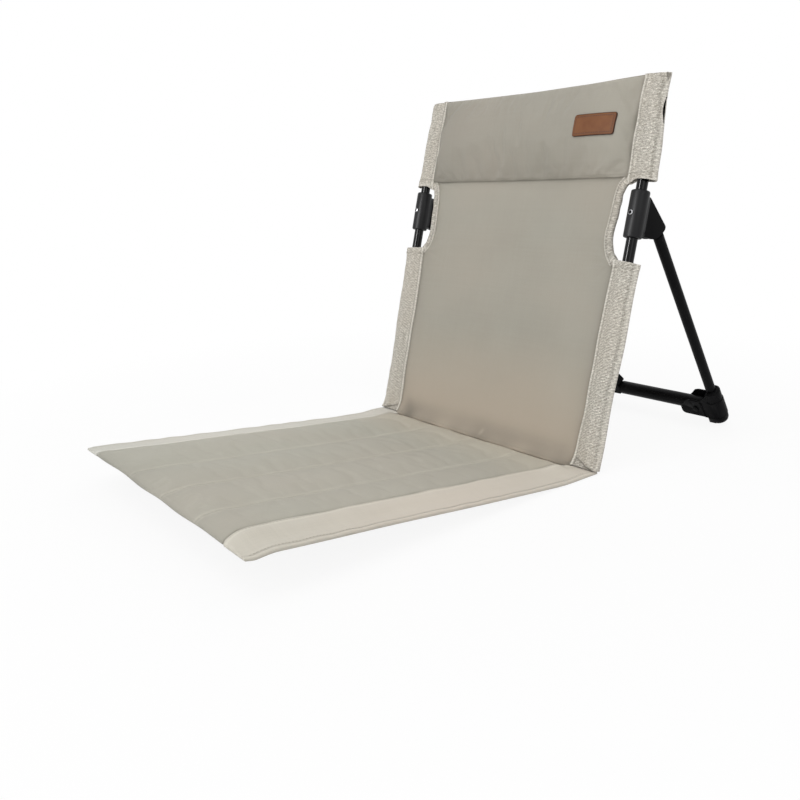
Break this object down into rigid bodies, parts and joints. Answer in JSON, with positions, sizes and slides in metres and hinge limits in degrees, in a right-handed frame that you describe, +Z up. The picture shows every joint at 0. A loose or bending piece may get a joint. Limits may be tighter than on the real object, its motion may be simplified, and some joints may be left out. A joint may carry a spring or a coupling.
{
  "type": "folding floor chair",
  "caption": "Legless folding floor chair: a cloth back on black poles, a hinged rear prop with a folding ground bar, and a quilted seat mat.",
  "frame": {"origin": "middle of the footprint, on the floor", "axes": "+Z up, the sitter faces -Y, +X to the sitter's left"},
  "size_m": [0.4274, 0.7412, 0.4471],
  "materials": {
    "cloth": "plain weave, matt",
    "canvas": "coarse twill, matt",
    "pole": "gloss",
    "tube": "satin",
    "moulding": "fine moulded grain",
    "pin": "turned",
    "patch": "smooth, stitched edge"
  },
  "bodies": {
    "side_left": {"pole_left": "pole", "pole_plug_low_left": "moulding", "pole_plug_top_left": "moulding", "hub_left": "moulding", "hub_rivet_left": "pin", "hub_pin_left": "pin", "sleeve_low_left": "canvas", "sleeve_top_left": "canvas", "binding_left": "canvas", "back_panel": "cloth", "head_cushion": "cloth", "patch": "patch"},
    "prop_left": {"strut_left": "tube", "strut_tongue_left": "moulding", "elbow_left": "moulding", "elbow_pin_left": "moulding"},
    "bar_half_left": {"bar_left": "tube", "bar_tongue_left": "moulding"},
    "centre": {"centre_joint": "moulding", "centre_pin_left": "pin", "centre_pin_right": "pin"},
    "bar_half_right": {"bar_right": "tube", "bar_tongue_right": "moulding"},
    "prop_right": {"strut_right": "tube", "strut_tongue_right": "moulding", "elbow_right": "moulding", "elbow_pin_right": "moulding"},
    "side_right": {"pole_right": "pole", "pole_plug_low_right": "moulding", "pole_plug_top_right": "moulding", "hub_right": "moulding", "hub_rivet_right": "pin", "hub_pin_right": "pin", "sleeve_low_right": "canvas", "sleeve_top_right": "canvas", "binding_right": "canvas"},
    "seat": {"seat_mat": "cloth", "seat_band_left": "canvas", "seat_band_right": "canvas"}
  },
  "joints": [
    {"name": "prop_swing", "type": "hinge", "parent": "side_left", "child": "prop_left", "pos_m": [0.1963, 0.19328, 0.29141], "axis": [1, 0, 0], "range_deg": [-45, 0]},
    {"name": "bar_fold", "type": "hinge", "parent": "prop_left", "child": "bar_half_left", "pos_m": [0.1717, 0.34908, 0.02479], "axis": [0, 0.8634, 0.5045], "range_deg": [0, 88], "deforming": ["back_panel", "head_cushion", "patch", "seat_mat", "seat_band_left", "seat_band_right"]},
    {"name": "centre_turn_left", "type": "hinge", "parent": "bar_half_left", "child": "centre", "pos_m": [0.025, 0.34908, 0.02479], "axis": [0, 0.8634, 0.5045], "range_deg": [-88, 0]},
    {"name": "centre_turn_right", "type": "hinge", "parent": "centre", "child": "bar_half_right", "pos_m": [-0.025, 0.34908, 0.02479], "axis": [0, 0.8634, 0.5045], "range_deg": [-88, 0]},
    {"name": "elbow_turn_right", "type": "hinge", "parent": "bar_half_right", "child": "prop_right", "pos_m": [-0.1717, 0.34908, 0.02479], "axis": [0, 0.8634, 0.5045], "range_deg": [0, 88]},
    {"name": "prop_swing_right", "type": "hinge", "parent": "prop_right", "child": "side_right", "pos_m": [-0.1963, 0.19328, 0.29141], "axis": [1, 0, 0], "range_deg": [0, 45]},
    {"name": "seat_fold", "type": "hinge", "parent": "side_left", "child": "seat", "pos_m": [0, 0.07444, 0.0015], "axis": [1, 0, 0], "range_deg": [-96, 0]}
  ],
  "couplings": [
    {"joint": "centre_turn_left", "follows": "bar_fold", "ratio": -1},
    {"joint": "centre_turn_right", "follows": "bar_fold", "ratio": -1},
    {"joint": "elbow_turn_right", "follows": "bar_fold", "ratio": 1},
    {"joint": "prop_swing_right", "follows": "prop_swing", "ratio": -1}
  ]
}
